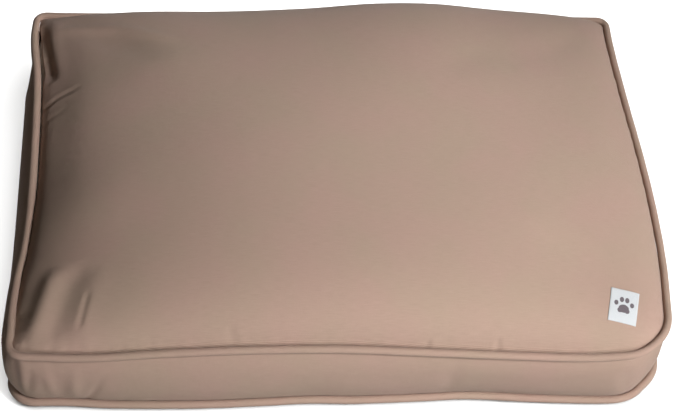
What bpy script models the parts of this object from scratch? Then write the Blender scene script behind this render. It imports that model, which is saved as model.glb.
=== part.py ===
"""Pet cushion bed: a piped box cushion in a zip-off canvas cover, over a liner full of fibre.

X runs from the bed's left to its right, Y from the front to the back and Z up, in metres. The
origin lies on the floor, under the middle of the bed. The zip runs along the back of the cover.
Each ply of cloth is a thin closed solid. The plies that a seam holds together lie face to face,
with GAP between them.
"""

import math

import bmesh
import bpy
from mathutils import Vector
from mathutils.bvhtree import BVHTree

# The bed as it lies on the floor, full of fibre.
LENGTH = 0.914  # over the piping, left to right
DEPTH = 0.686  # over the piping, front to back
CORNER_RADIUS = 0.045  # of the stitch line, in plan
BAND_HEIGHT = 0.105  # from the bottom stitch line up to the top one
BAND_BULGE = 0.014  # how far the band stands out past the stitch lines at mid-height
CROWN = 0.080  # how far the top panel rises above its stitch line
CROWN_POWER = 4  # the higher, the flatter the top and the steeper its edges
BOTTOM_SEAM_Z = 0.012  # the bottom stitch line above the floor
FLAT_SHARE = 0.86  # the part of the bottom panel that lies flat on the floor
CORNER_FADE = 8  # how late the crown's height at a rounded corner fades out

# Cloth, cord and the way they are sewn.
CANVAS = 0.0010
GAP = 0.0003
ALLOWANCE = 0.012  # the raw edges turned inside every seam
FOLD_RADIUS = 0.0008  # of a ply's middle where it folds back
CORD_RADIUS = 0.0042
SLEEVE = 0.0009  # the bias strip round the piping cord
CORD_ROOM = 0.0006  # between the cord and its sleeve

# The zip along the back of the cover.
ZIP_WINDOW = 0.012  # between the folded edges of the two strips
STRIP_TURN = 0.010  # the strips' folded edges, turned inside
ZIP_END = 0.015  # from the zip strips' ends to the start of the rounded corners
STRIP_JOIN = 0.0006
TAPE_WIDTH = 0.0135
TAPE = 0.0006
TAPE_EDGE = 0.0010  # from the chain's centre to the tape's edge
COIL_WIDTH = 0.0026
COIL_HEIGHT = 0.0019
COIL_SLOT = 0.0012  # between the two coils, where the slider's neck runs
TAPE_ROOM = 0.0004
GARAGE_WIDTH = 0.030
GARAGE_HEIGHT = 0.040
GARAGE_INSET = 0.004  # from the zip strips' ends
SLIDER_LENGTH = 0.013
SLIDER_WIDTH = 0.009
SLIDER_REAR_WIDTH = 0.0068
SLIDER_PLATE = 0.0012
SLIDER_WALL = 0.0009
SLIDER_NECK = 0.0006
SLIDER_ROOM = 0.0003
SLIDER_TO_GARAGE = 0.001
BRIDGE_HALF_SPAN = 0.0024
BRIDGE_HEIGHT = 0.0039
BRIDGE_WIDTH = 0.0010
RING_WIRE_RADIUS = 0.0005
RING_HALF_WIDTH = 0.0021
RING_DROP = 0.0060  # from the bridge's leg down to the ring's straight bar
RING_CORNER = 0.0006
RING_HEIGHT = 0.0021  # the ring's middle above the slider's top plate
TAB_WIDTH = 0.007
TAB_LENGTH = 0.026
TAB_THICKNESS = 0.0010
TAB_NECK = 0.0011  # from the hinge's axis to the tab's shoulders
TAB_HOLE_RADIUS = 0.0012
KNUCKLE_WALL = 0.0005
KNUCKLE_LENGTH = 0.0024
KNUCKLE_ROOM = 0.0002

# The labels.
LABEL_SIZE = (0.040, 0.055)
LABEL = 0.0006
LABEL_FROM_SIDE = 0.066  # its middle, in from the right stitch line
LABEL_FROM_FRONT = 0.064  # its middle, in from the front stitch line
LABEL_TURN = math.radians(-9)
LABEL_ROOM = 0.0009  # under it, over the curved panel
LABEL_STITCH_INSET = 0.0025
THREAD_RADIUS = 0.0003
CARE_LABEL_WIDTH = 0.022
CARE_LABEL_DROP = 0.036
CARE_LABEL = 0.0005
CARE_LABEL_ROOM = 0.0008  # under it, over the zip strip
CARE_LABEL_FROM_END = 0.070  # its middle, in from the zip strips' left end

# The liner and what fills it.
LINER = 0.0006
LINER_INSET = 0.016  # inside the cover's stitch line
LINER_DROP = 0.005  # below the middle of the top panel's cloth
LINER_LIFT = 0.0016  # above the middle of the bottom panel's cloth
LINER_ALLOWANCE = 0.008
FILL_ROOM = 0.0022  # between the liner and the fibre

# How finely the round shapes are cut into facets.
CORNER_STEPS = 5
LINER_CORNER_STEPS = 3
FACET_LENGTH = 0.145  # the longest facet along a straight side
BAND_STEPS = 10
PANEL_RINGS = (0.985, 0.955, 0.91, 0.85, 0.77, 0.66, 0.52, 0.36, 0.18)
RISE_STEPS = 4
LINER_RINGS = (0.96, 0.88, 0.76, 0.58, 0.30)

PIPE_RADIUS = CORD_RADIUS + CORD_ROOM + SLEEVE
PIPE_OUT = PIPE_RADIUS + 0.0004  # from the stitch line to the middle of the cord
HALF_X = LENGTH / 2 - PIPE_OUT - PIPE_RADIUS
HALF_Y = DEPTH / 2 - PIPE_OUT - PIPE_RADIUS
LONG_STEPS = math.ceil(2 * (HALF_X - CORNER_RADIUS) / FACET_LENGTH)
SHORT_STEPS = math.ceil(2 * (HALF_Y - CORNER_RADIUS) / FACET_LENGTH)
TOP_SEAM_Z = BOTTOM_SEAM_Z + BAND_HEIGHT
MIDDLE_Z = (BOTTOM_SEAM_Z + TOP_SEAM_Z) / 2
PLY_Z = GAP / 2 + SLEEVE + GAP + CANVAS / 2  # from a seam's middle to a panel's or band's ply
ZIP_HALF = HALF_X - CORNER_RADIUS - ZIP_END
ZIP_Y = HALF_Y + BAND_BULGE  # the band's outer face at mid-height
COIL_BACK = -2 * CANVAS - 2 * GAP - TAPE_ROOM + 0.0003
COIL_FRONT = COIL_BACK + COIL_HEIGHT
GARAGE_MIDDLE = ZIP_HALF - GARAGE_INSET - GARAGE_WIDTH / 2
SLIDER_X = GARAGE_MIDDLE - GARAGE_WIDTH / 2 - SLIDER_TO_GARAGE - SLIDER_LENGTH / 2

# Colour, roughness and metallic value.
CANVAS_TAUPE = ((0.42, 0.31, 0.24), 0.9, 0.0)
COTTON_WHITE = ((0.80, 0.78, 0.73), 0.9, 0.0)
FIBRE_WHITE = ((0.88, 0.88, 0.86), 1.0, 0.0)
LABEL_WHITE = ((0.80, 0.82, 0.82), 0.8, 0.0)
LABEL_THREAD = ((0.62, 0.60, 0.56), 0.8, 0.0)
ZIP_BROWN = ((0.26, 0.19, 0.15), 0.8, 0.0)
COIL_NYLON = ((0.22, 0.16, 0.13), 0.45, 0.0)
NICKEL = ((0.62, 0.60, 0.57), 0.3, 1.0)


def clear_scene():
    for obj in list(bpy.data.objects):
        bpy.data.objects.remove(obj)


def material_of(name, finish):
    colour, roughness, metallic = finish
    material = bpy.data.materials.new(name)
    material.use_nodes = True
    shader = material.node_tree.nodes["Principled BSDF"]
    shader.inputs["Base Color"].default_value = (*colour, 1.0)
    shader.inputs["Roughness"].default_value = roughness
    shader.inputs["Metallic"].default_value = metallic
    return material


def add_object(name, data, finish, location=(0, 0, 0), parent=None):
    """Links a new object with its own material, at location under its parent."""
    data.materials.append(material_of(name, finish))
    obj = bpy.data.objects.new(name, data)
    bpy.context.collection.objects.link(obj)
    obj.parent = parent
    obj.location = location
    return obj


def mesh_from(bm, name):
    """Turns a closed or open bmesh into a smooth-shaded mesh whose faces agree."""
    bmesh.ops.recalc_face_normals(bm, faces=bm.faces)
    mesh = bpy.data.meshes.new(name)
    bm.to_mesh(mesh)
    bm.free()
    mesh.shade_smooth()
    mesh.set_sharp_from_angle(angle=math.radians(40))
    return mesh


# Plan outlines. A point of an outline is (x, y, outward x, outward y).


def corner_arc(index, steps):
    """The stitch line's rounded corner: 0 front right, 1 back right, 2 back left, 3 front left."""
    across = 1 if index in (0, 1) else -1
    along = 1 if index in (1, 2) else -1
    points = []
    for step in range(steps + 1):
        angle = math.radians(90 * (index - 1 + step / steps))
        out_x, out_y = math.cos(angle), math.sin(angle)
        x = across * (HALF_X - CORNER_RADIUS) + CORNER_RADIUS * out_x
        y = along * (HALF_Y - CORNER_RADIUS) + CORNER_RADIUS * out_y
        points.append((x, y, out_x, out_y))
    return points


def side_after(index, steps):
    """The points between one corner's end and the next one's start."""
    start = corner_arc(index, 1)[-1]
    end = corner_arc((index + 1) % 4, 1)[0]
    points = []
    for step in range(1, steps):
        share = step / steps
        x = start[0] + share * (end[0] - start[0])
        y = start[1] + share * (end[1] - start[1])
        points.append((x, y, start[2], start[3]))
    return points


def stitch_line(corner_steps=CORNER_STEPS, long_steps=LONG_STEPS, short_steps=SHORT_STEPS):
    """The whole stitch line in plan, anticlockwise from the front right corner."""
    points = []
    for index in range(4):
        points += corner_arc(index, corner_steps)
        points += side_after(index, short_steps if index % 2 == 0 else long_steps)
    return points


def wrap_line():
    """The stitch line from one end of the zip strips to the other: left side, front, right side."""
    end = ZIP_HALF + STRIP_JOIN
    points = [(-end, HALF_Y, 0, 1)]
    for index, steps in ((2, SHORT_STEPS), (3, LONG_STEPS), (0, SHORT_STEPS)):
        points += corner_arc(index, CORNER_STEPS) + side_after(index, steps)
    return points + corner_arc(1, CORNER_STEPS) + [(end, HALF_Y, 0, 1)]


def back_line(start_x, end_x):
    return [(start_x, HALF_Y, 0, 1), (end_x, HALF_Y, 0, 1)]


def edge_share(x, y):
    """How far a point lies from the bed's centre to its stitch line: 0 to 1."""
    x, y = abs(x), abs(y)
    share = max(x / HALF_X, y / HALF_Y)
    inner_x, inner_y = HALF_X - CORNER_RADIUS, HALF_Y - CORNER_RADIUS
    if x <= share * inner_x or y <= share * inner_y:
        return share
    a = inner_x**2 + inner_y**2 - CORNER_RADIUS**2
    b = x * inner_x + y * inner_y
    return (b - math.sqrt(b * b - a * (x * x + y * y))) / a


# Heights of the cover's two panels, to the middle of their cloth.


def pillow_height(x, y):
    """The crown over a plain rectangle, which is lowest along its sides and at its corners."""
    across = max(0.0, 1 - abs(x / HALF_X) ** CROWN_POWER)
    along = max(0.0, 1 - abs(y / HALF_Y) ** CROWN_POWER)
    return CROWN * math.sqrt(across * along)


def top_panel_z(x, y):
    """The pillow's height, brought down to the stitch line at the rounded corners too."""
    share = edge_share(x, y)
    height = pillow_height(x, y)
    if share > 0:
        height -= pillow_height(x / share, y / share) * share**CORNER_FADE
    return TOP_SEAM_Z + PLY_Z + FOLD_RADIUS + height


def bottom_panel_z(x, y):
    """Flat on the floor, then rising in a smooth curve to the bottom stitch line."""
    edge_z = BOTTOM_SEAM_Z - PLY_Z - 2 * FOLD_RADIUS
    rise = max(0.0, (edge_share(x, y) - FLAT_SHARE) / (1 - FLAT_SHARE))
    return CANVAS / 2 + (edge_z - CANVAS / 2) * rise * rise * (3 - 2 * rise)


# Shapes made from outlines.


def offset_ring(outline, out, z):
    return [(x + nx * out, y + ny * out, z) for x, y, nx, ny in outline]


def scaled_ring(outline, out, share, height):
    """The outline, offset, then drawn in towards the centre; height(x, y) gives z."""
    ring = []
    for x, y, nx, ny in outline:
        x, y = (x + nx * out) * share, (y + ny * out) * share
        ring.append((x, y, height(x, y)))
    return ring


def join_loops(bm, first, second):
    for i, corner in enumerate(first):
        j = (i + 1) % len(first)
        bm.faces.new((corner, first[j], second[j], second[i]))


def cloth_from_rings(name, rings, thickness, finish):
    """A sheet from its raw edge to its centre, given its thickness evenly on both faces."""
    bm = bmesh.new()
    loops = [[bm.verts.new(point) for point in ring] for ring in rings]
    for first, second in zip(loops, loops[1:]):
        join_loops(bm, first, second)
    bmesh.ops.triangulate(bm, faces=bm.faces)
    bm.faces.new(loops[-1])
    obj = add_object(name, mesh_from(bm, name), finish)
    solidify = obj.modifiers.new("Thickness", "SOLIDIFY")
    solidify.thickness = thickness
    solidify.offset = 0
    solidify.use_even_offset = True
    return obj


def sweep(name, profile, path, finish, closed=False):
    """A closed profile of (outward, z) points, carried along a plan path as one solid."""
    bm = bmesh.new()
    loops = [
        [bm.verts.new((x + nx * out, y + ny * out, z)) for out, z in profile]
        for x, y, nx, ny in path
    ]
    for first, second in zip(loops, loops[1:]):
        join_loops(bm, first, second)
    if closed:
        join_loops(bm, loops[-1], loops[0])
    else:
        bm.faces.new(loops[0])
        bm.faces.new(loops[-1])
    return add_object(name, mesh_from(bm, name), finish)


def arc(centre, radius, start, end, steps):
    """Points on a circle in the profile's plane, from one angle to another, in degrees."""
    points = []
    for step in range(steps + 1):
        angle = math.radians(start + (end - start) * step / steps)
        points.append((centre[0] + radius * math.cos(angle), centre[1] + radius * math.sin(angle)))
    return points


def beside(middle, distance):
    """A line of points a distance to the left of another."""
    points = [Vector(point) for point in middle]
    moved = []
    for i, point in enumerate(points):
        before = (point - points[i - 1]).normalized() if i else None
        after = (points[i + 1] - point).normalized() if i + 1 < len(points) else None
        before, after = before or after, after or before
        across = Vector((-(before + after).y, (before + after).x)).normalized()
        lean = max(0.5, across.dot(Vector((-after.y, after.x))))
        moved.append(tuple(point + across * distance / lean))
    return moved


def ply(middle, thickness):
    """The closed outline of a ply of cloth whose middle follows the given points."""
    return beside(middle, thickness / 2) + beside(middle, -thickness / 2)[::-1]


def box(bm, low, high):
    """Adds a plain box to the bmesh."""
    corners = [
        bm.verts.new((x, y, z)) for z in (low[2], high[2]) for x, y in (
            (low[0], low[1]), (high[0], low[1]), (high[0], high[1]), (low[0], high[1])
        )
    ]
    bm.faces.new(corners[3::-1])
    bm.faces.new(corners[4:])
    for i in range(4):
        j = (i + 1) % 4
        bm.faces.new((corners[i], corners[j], corners[4 + j], corners[4 + i]))


def box_object(name, low, high, finish, parent=None, location=(0, 0, 0)):
    bm = bmesh.new()
    box(bm, low, high)
    return add_object(name, mesh_from(bm, name), finish, location, parent)


def plate_object(name, outline, back, front, finish, parent, location):
    """An outline of (x, z) points, given thickness along Y."""
    bm = bmesh.new()
    loops = [[bm.verts.new((x, y, z)) for x, z in outline] for y in (back, front)]
    join_loops(bm, *loops)
    bm.faces.new(loops[0])
    bm.faces.new(loops[1])
    return add_object(name, mesh_from(bm, name), finish, location, parent)


def rod_object(name, radius, low, high, axis, finish, parent, location, sides=12):
    """A round rod whose axis is X or Y, between the two centres low and high."""
    bm = bmesh.new()
    loops = []
    for end in (low, high):
        loop = []
        for step in range(sides):
            angle = 2 * math.pi * (step + 0.5) / sides
            across, up = radius * math.cos(angle), radius * math.sin(angle)
            if axis == "X":
                loop.append(bm.verts.new((end[0], end[1] + across, end[2] + up)))
            else:
                loop.append(bm.verts.new((end[0] + across, end[1], end[2] + up)))
        loops.append(loop)
    join_loops(bm, *loops)
    bm.faces.new(loops[0])
    bm.faces.new(loops[1])
    return add_object(name, mesh_from(bm, name), finish, location, parent)


def combine(target, helper, operation):
    """Joins or cuts the target with a hidden helper."""
    helper.hide_render = True
    helper.display_type = "WIRE"
    boolean = target.modifiers.new(helper.name, "BOOLEAN")
    boolean.operation = operation
    boolean.object = helper
    boolean.solver = "EXACT"


# The cover.


def make_top_panel():
    """Canvas over the crown. Its edge folds back under itself into the seam. Returns its faces."""
    outline = stitch_line()
    ply_z = TOP_SEAM_Z + PLY_Z
    fold_out = -FOLD_RADIUS - CANVAS / 2
    rings = [
        offset_ring(outline, -ALLOWANCE, ply_z),
        offset_ring(outline, fold_out, ply_z),
        offset_ring(outline, fold_out + 0.7 * FOLD_RADIUS, ply_z + 0.3 * FOLD_RADIUS),
        offset_ring(outline, -CANVAS / 2, ply_z + FOLD_RADIUS),
    ]
    for share in PANEL_RINGS:
        rings.append(scaled_ring(outline, -CANVAS / 2, share, top_panel_z))
    panel = cloth_from_rings("cover_top_panel", rings, CANVAS, CANVAS_TAUPE)
    return BVHTree.FromObject(panel, bpy.context.evaluated_depsgraph_get())


def make_bottom_panel():
    """Canvas under the bed, flat where it lies on the floor."""
    outline = stitch_line()
    ply_z = BOTTOM_SEAM_Z - PLY_Z
    fold_out = -FOLD_RADIUS - CANVAS / 2
    rings = [
        offset_ring(outline, -ALLOWANCE, ply_z),
        offset_ring(outline, fold_out, ply_z),
        offset_ring(outline, fold_out + 0.7 * FOLD_RADIUS, ply_z - 0.3 * FOLD_RADIUS),
        offset_ring(outline, -CANVAS / 2, ply_z - FOLD_RADIUS),
        offset_ring(outline, fold_out + 0.7 * FOLD_RADIUS, ply_z - 1.7 * FOLD_RADIUS),
        offset_ring(outline, fold_out, ply_z - 2 * FOLD_RADIUS),
    ]
    for step in range(1, RISE_STEPS + 1):
        share = 1 - (1 - FLAT_SHARE) * step / RISE_STEPS
        rings.append(scaled_ring(outline, fold_out, share, bottom_panel_z))
    cloth_from_rings("cover_bottom_panel", rings, CANVAS, CANVAS_TAUPE)


def band_out(z):
    """How far the band's outer face stands out from the stitch line at a height."""
    fold_z = PLY_Z + FOLD_RADIUS
    share = abs(z - MIDDLE_Z) / (BAND_HEIGHT / 2 - fold_z)
    return BAND_BULGE * (1 - min(1.0, share) ** CROWN_POWER)


def band_middle(from_z, to_z, steps):
    """The middle of the band's cloth between two heights."""
    points = []
    for step in range(steps + 1):
        z = from_z + (to_z - from_z) * step / steps
        points.append((band_out(z) - CANVAS / 2, z))
    return points


def seam_turn(seam_z, way):
    """A band's edge from its raw end in the seam to where it turns up (way 1) or down (-1)."""
    ply_z = seam_z + way * PLY_Z
    fold = arc((-FOLD_RADIUS - CANVAS / 2, ply_z + way * FOLD_RADIUS), FOLD_RADIUS, -90 * way, 0, 3)
    return [(-ALLOWANCE, ply_z), *fold[:-1]]


def make_wrap_band():
    """One strip of canvas round the left side, the front and the right side."""
    low = BOTTOM_SEAM_Z + PLY_Z + FOLD_RADIUS
    high = TOP_SEAM_Z - PLY_Z - FOLD_RADIUS
    middle = seam_turn(BOTTOM_SEAM_Z, 1) + band_middle(low, high, BAND_STEPS)
    middle += seam_turn(TOP_SEAM_Z, -1)[::-1]
    sweep("cover_wrap_band", ply(middle, CANVAS), wrap_line(), CANVAS_TAUPE)


def make_zip_strips():
    """The back of the band in two strips, each with its edge turned inside along the zip."""
    for name, seam_z, way in (("upper", TOP_SEAM_Z, -1), ("lower", BOTTOM_SEAM_Z, 1)):
        turn_radius = (CANVAS + GAP) / 2
        start_z = seam_z + way * (PLY_Z + FOLD_RADIUS)
        edge_z = MIDDLE_Z - way * (ZIP_WINDOW / 2 + turn_radius + CANVAS / 2)
        out = band_out(edge_z) - CANVAS / 2
        turn = arc((out - turn_radius, edge_z), turn_radius, 0, 180 * way, 6)
        under = band_middle(edge_z, edge_z - way * STRIP_TURN, 2)[1:]
        middle = seam_turn(seam_z, way) + band_middle(start_z, edge_z, BAND_STEPS // 2)[:-1]
        middle += turn + [(out - 2 * turn_radius, z) for out, z in under]
        path = back_line(-ZIP_HALF, ZIP_HALF)
        sweep(f"zip_strip_{name}", ply(middle, CANVAS), path, CANVAS_TAUPE)


def sleeve_profile(seam_z):
    """A bias strip folded round the cord, its two plies held together in the seam."""
    centre = (PIPE_OUT, seam_z)
    inner = PIPE_RADIUS - SLEEVE
    outer_angle = math.degrees(math.asin((GAP / 2 + SLEEVE) / PIPE_RADIUS))
    inner_angle = math.degrees(math.asin(GAP / 2 / inner))
    outside = arc(centre, PIPE_RADIUS, 180 - outer_angle, -180 + outer_angle, 14)
    inside = arc(centre, inner, -180 + inner_angle, 180 - inner_angle, 12)
    upper = [(-ALLOWANCE, seam_z + GAP / 2), (-ALLOWANCE, seam_z + GAP / 2 + SLEEVE)]
    lower = [(-ALLOWANCE, seam_z - GAP / 2 - SLEEVE), (-ALLOWANCE, seam_z - GAP / 2)]
    return upper + outside + lower + inside


def make_piping():
    """A cotton cord in a canvas sleeve round the top seam, and another round the bottom one."""
    outline = stitch_line(long_steps=1, short_steps=1)
    for name, seam_z in (("top", TOP_SEAM_Z), ("bottom", BOTTOM_SEAM_Z)):
        sleeve = sleeve_profile(seam_z)
        sweep(f"{name}_piping_sleeve", sleeve, outline, CANVAS_TAUPE, closed=True)
        cord = arc((PIPE_OUT, seam_z), CORD_RADIUS, 0, 360, 10)[:-1]
        sweep(f"{name}_piping_cord", cord, outline, COTTON_WHITE, closed=True)


# The zip.


def make_tapes_and_coils():
    """Two woven tapes, each with a coil of nylon along the edge that meets the other."""
    reach = ZIP_HALF - GARAGE_INSET
    tape_front = COIL_BACK - GAP
    for name, way in (("upper", 1), ("lower", -1)):
        near, far = way * TAPE_EDGE, way * (TAPE_EDGE + TAPE_WIDTH)
        low_z, high_z = MIDDLE_Z + min(near, far), MIDDLE_Z + max(near, far)
        box_object(
            f"zip_tape_{name}",
            (-reach, ZIP_Y + tape_front - TAPE, low_z),
            (reach, ZIP_Y + tape_front, high_z),
            ZIP_BROWN,
        )
        coil_z = MIDDLE_Z + way * (COIL_SLOT + COIL_WIDTH) / 2
        middle_out = BAND_BULGE + (COIL_BACK + COIL_FRONT) / 2
        stretch = COIL_WIDTH / COIL_HEIGHT
        section = [
            (out + middle_out, coil_z + z * stretch)
            for out, z in arc((0, 0), COIL_HEIGHT / 2, 0, 360, 10)[:-1]
        ]
        sweep(f"zip_coil_{name}", section, back_line(-reach, reach), COIL_NYLON)


def make_garages():
    """A canvas patch sewn over each end of the zip, where the slider stops."""
    for name, way in (("left", -1), ("right", 1)):
        middle_x = way * GARAGE_MIDDLE
        low_z, high_z = MIDDLE_Z - GARAGE_HEIGHT / 2, MIDDLE_Z + GARAGE_HEIGHT / 2
        box_object(
            f"zip_garage_{name}",
            (middle_x - GARAGE_WIDTH / 2, ZIP_Y + GAP, low_z),
            (middle_x + GARAGE_WIDTH / 2, ZIP_Y + GAP + CANVAS, high_z),
            CANVAS_TAUPE,
        )


def slider_outline():
    """The slider's plates seen from behind the bed: widest near the end that parts the coils."""
    half = SLIDER_LENGTH / 2
    nose = 0.7 * half
    upper = [
        (-half, SLIDER_REAR_WIDTH / 2),
        (nose, SLIDER_WIDTH / 2),
        (half, SLIDER_REAR_WIDTH / 2),
    ]
    return upper + [(x, -z) for x, z in reversed(upper)]


def make_slider(parent):
    """Two plates with side walls over the coils, a neck between them and a bridge for the ring."""
    plate_back = COIL_FRONT + SLIDER_ROOM
    plate_front = plate_back + SLIDER_PLATE
    under_front = COIL_BACK - GAP - TAPE - SLIDER_ROOM
    place = {"finish": NICKEL, "parent": parent, "location": (0, 0, 0)}
    slider = plate_object("zip_slider", slider_outline(), plate_back, plate_front, **place)
    under = plate_object(
        "slider_under_plate", slider_outline(), under_front - SLIDER_PLATE, under_front, **place
    )
    combine(slider, under, "UNION")
    neck_x = 0.7 * SLIDER_LENGTH / 2
    neck = box_object(
        "slider_neck",
        (neck_x - 0.003, under_front - SLIDER_PLATE / 2, -SLIDER_NECK / 2),
        (neck_x, plate_back + SLIDER_PLATE / 2, SLIDER_NECK / 2),
        **place,
    )
    combine(slider, neck, "UNION")
    coil_side = COIL_SLOT / 2 + COIL_WIDTH
    wall_low = coil_side + SLIDER_ROOM
    wall_back = COIL_BACK - GAP + SLIDER_ROOM
    for name, way in (("upper", 1), ("lower", -1)):
        near, far = way * wall_low, way * (wall_low + SLIDER_WALL)
        wall = box_object(
            f"slider_wall_{name}",
            (-SLIDER_LENGTH / 4, wall_back, min(near, far)),
            (SLIDER_LENGTH / 4, plate_back + SLIDER_PLATE / 2, max(near, far)),
            **place,
        )
        combine(slider, wall, "UNION")
    for name, way in (("near", -1), ("far", 1)):
        leg = rod_object(
            f"bridge_leg_{name}",
            BRIDGE_WIDTH / 2,
            (way * BRIDGE_HALF_SPAN, plate_front - SLIDER_PLATE / 2, 0),
            (way * BRIDGE_HALF_SPAN, plate_front + BRIDGE_HEIGHT - BRIDGE_WIDTH / 2, 0),
            "Y",
            **place,
        )
        combine(slider, leg, "UNION")
    bar_reach = BRIDGE_HALF_SPAN + 0.7 * BRIDGE_WIDTH
    bar = box_object(
        "bridge_bar",
        (-bar_reach, plate_front + BRIDGE_HEIGHT - BRIDGE_WIDTH, -0.6 * BRIDGE_WIDTH),
        (bar_reach, plate_front + BRIDGE_HEIGHT, 0.6 * BRIDGE_WIDTH),
        **place,
    )
    combine(slider, bar, "UNION")
    return plate_front


def make_pull_ring(parent, out):
    """A wire link that hangs on the bridge's leg, with a straight bar at its foot."""
    inner = RING_HALF_WIDTH - RING_CORNER
    foot = -RING_DROP + RING_CORNER
    path = arc((0, 0), RING_HALF_WIDTH, 0, 180, 8)
    path += arc((-inner, foot), RING_CORNER, 180, 270, 3)
    path += arc((inner, foot), RING_CORNER, 270, 360, 3)
    curve = bpy.data.curves.new("zip_pull_ring", "CURVE")
    curve.dimensions = "3D"
    curve.bevel_depth = RING_WIRE_RADIUS
    curve.bevel_resolution = 2
    spline = curve.splines.new("POLY")
    spline.points.add(len(path) - 1)
    for point, (x, z) in zip(spline.points, path):
        point.co = (x, 0, z, 1)
    spline.use_cyclic_u = True
    return add_object("zip_pull_ring", curve, NICKEL, (-BRIDGE_HALF_SPAN, out, 0), parent)


def make_pull_tab(parent):
    """A flat tab whose rolled top turns on the ring's bar."""
    half = TAB_WIDTH / 2
    place = {"finish": NICKEL, "parent": parent, "location": (0, 0, -RING_DROP)}
    outline = [(half, -TAB_NECK)] + arc((0, half - TAB_LENGTH), half, 0, -180, 10)
    outline += [(-half, -TAB_NECK)]
    tab = plate_object("zip_pull_tab", outline, -TAB_THICKNESS / 2, TAB_THICKNESS / 2, **place)
    bore = RING_WIRE_RADIUS + KNUCKLE_ROOM
    reach = KNUCKLE_LENGTH / 2
    knuckle = rod_object(
        "tab_knuckle", bore + KNUCKLE_WALL, (-reach, 0, 0), (reach, 0, 0), "X", **place
    )
    combine(tab, knuckle, "UNION")
    bar_hole = rod_object("tab_bar_hole", bore, (-2 * reach, 0, 0), (2 * reach, 0, 0), "X", **place)
    combine(tab, bar_hole, "DIFFERENCE")
    hole_z = 1.2 * half - TAB_LENGTH
    hole = rod_object(
        "tab_hole",
        TAB_HOLE_RADIUS,
        (0, -TAB_THICKNESS, hole_z),
        (0, TAB_THICKNESS, hole_z),
        "Y",
        **place,
    )
    combine(tab, hole, "DIFFERENCE")


def make_zip():
    """The slider is closed at the right end, and its link and tab hang down from it."""
    make_tapes_and_coils()
    make_garages()
    carriage = bpy.data.objects.new("zip_carriage", None)
    bpy.context.collection.objects.link(carriage)
    carriage.location = (SLIDER_X, ZIP_Y, MIDDLE_Z)
    plate_front = make_slider(carriage)
    ring = make_pull_ring(carriage, plate_front + RING_HEIGHT)
    make_pull_tab(ring)


# The labels.


def on_label(panel, across, along, rise):
    """A point measured from the label's middle, at a height over the panel's outer face."""
    turn_x, turn_y = math.cos(LABEL_TURN), math.sin(LABEL_TURN)
    x = HALF_X - LABEL_FROM_SIDE + across * turn_x - along * turn_y
    y = -HALF_Y + LABEL_FROM_FRONT + across * turn_y + along * turn_x
    point, normal, _, _ = panel.find_nearest((x, y, top_panel_z(x, y) + CANVAS))
    return point + normal * rise


def make_label(panel):
    """A woven label laid on the crown by its front right corner."""
    steps_across, steps_along = 8, 10
    bm = bmesh.new()
    grid = []
    for row in range(steps_along + 1):
        along = LABEL_SIZE[1] * (row / steps_along - 0.5)
        line = []
        for column in range(steps_across + 1):
            across = LABEL_SIZE[0] * (column / steps_across - 0.5)
            line.append(bm.verts.new(on_label(panel, across, along, LABEL_ROOM + LABEL / 2)))
        grid.append(line)
    for row in range(steps_along):
        for column in range(steps_across):
            near, far = grid[row], grid[row + 1]
            bm.faces.new((near[column], near[column + 1], far[column + 1], far[column]))
    label = add_object("sewn_label", mesh_from(bm, "sewn_label"), LABEL_WHITE)
    solidify = label.modifiers.new("Thickness", "SOLIDIFY")
    solidify.thickness = LABEL
    solidify.offset = 0


def make_label_stitching(panel):
    """The line of thread that runs round inside the label's edge."""
    half_across = LABEL_SIZE[0] / 2 - LABEL_STITCH_INSET
    half_along = LABEL_SIZE[1] / 2 - LABEL_STITCH_INSET
    corners = [
        (-half_across, -half_along),
        (half_across, -half_along),
        (half_across, half_along),
        (-half_across, half_along),
    ]
    steps = 5
    curve = bpy.data.curves.new("label_stitching", "CURVE")
    curve.dimensions = "3D"
    curve.bevel_depth = THREAD_RADIUS
    curve.bevel_resolution = 1
    spline = curve.splines.new("POLY")
    spline.points.add(len(corners) * steps - 1)
    for i, point in enumerate(spline.points):
        start, end = corners[i // steps], corners[(i // steps + 1) % 4]
        share = (i % steps) / steps
        across, along = (a + share * (b - a) for a, b in zip(start, end))
        rise = LABEL_ROOM + LABEL + 2 * GAP + THREAD_RADIUS
        point.co = (*on_label(panel, across, along, rise), 1)
    spline.use_cyclic_u = True
    add_object("label_stitching", curve, LABEL_THREAD)


def make_care_label():
    """A narrow label that hangs out of the top seam, over the upper zip strip."""
    top_z = TOP_SEAM_Z - PLY_Z - FOLD_RADIUS
    strip = band_middle(top_z, MIDDLE_Z, BAND_STEPS)
    high = TOP_SEAM_Z - PIPE_RADIUS - 2 * CARE_LABEL_ROOM
    low = high - CARE_LABEL_DROP
    levels = [z for _, z in strip if low + CANVAS < z < high - CANVAS]
    middle = [(band_out(z) - CANVAS / 2, z) for z in (high, *levels, low)]
    middle = beside(middle, CANVAS / 2 + CARE_LABEL_ROOM + CARE_LABEL / 2)
    centre_x = -ZIP_HALF + CARE_LABEL_FROM_END
    path = back_line(centre_x - CARE_LABEL_WIDTH / 2, centre_x + CARE_LABEL_WIDTH / 2)
    sweep("care_label", ply(middle, CARE_LABEL), path, LABEL_WHITE)


# The insert.


def liner_top_z(x, y):
    return top_panel_z(x, y) - LINER_DROP


def liner_bottom_z(x, y):
    return bottom_panel_z(x, y) + LINER_LIFT


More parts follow.
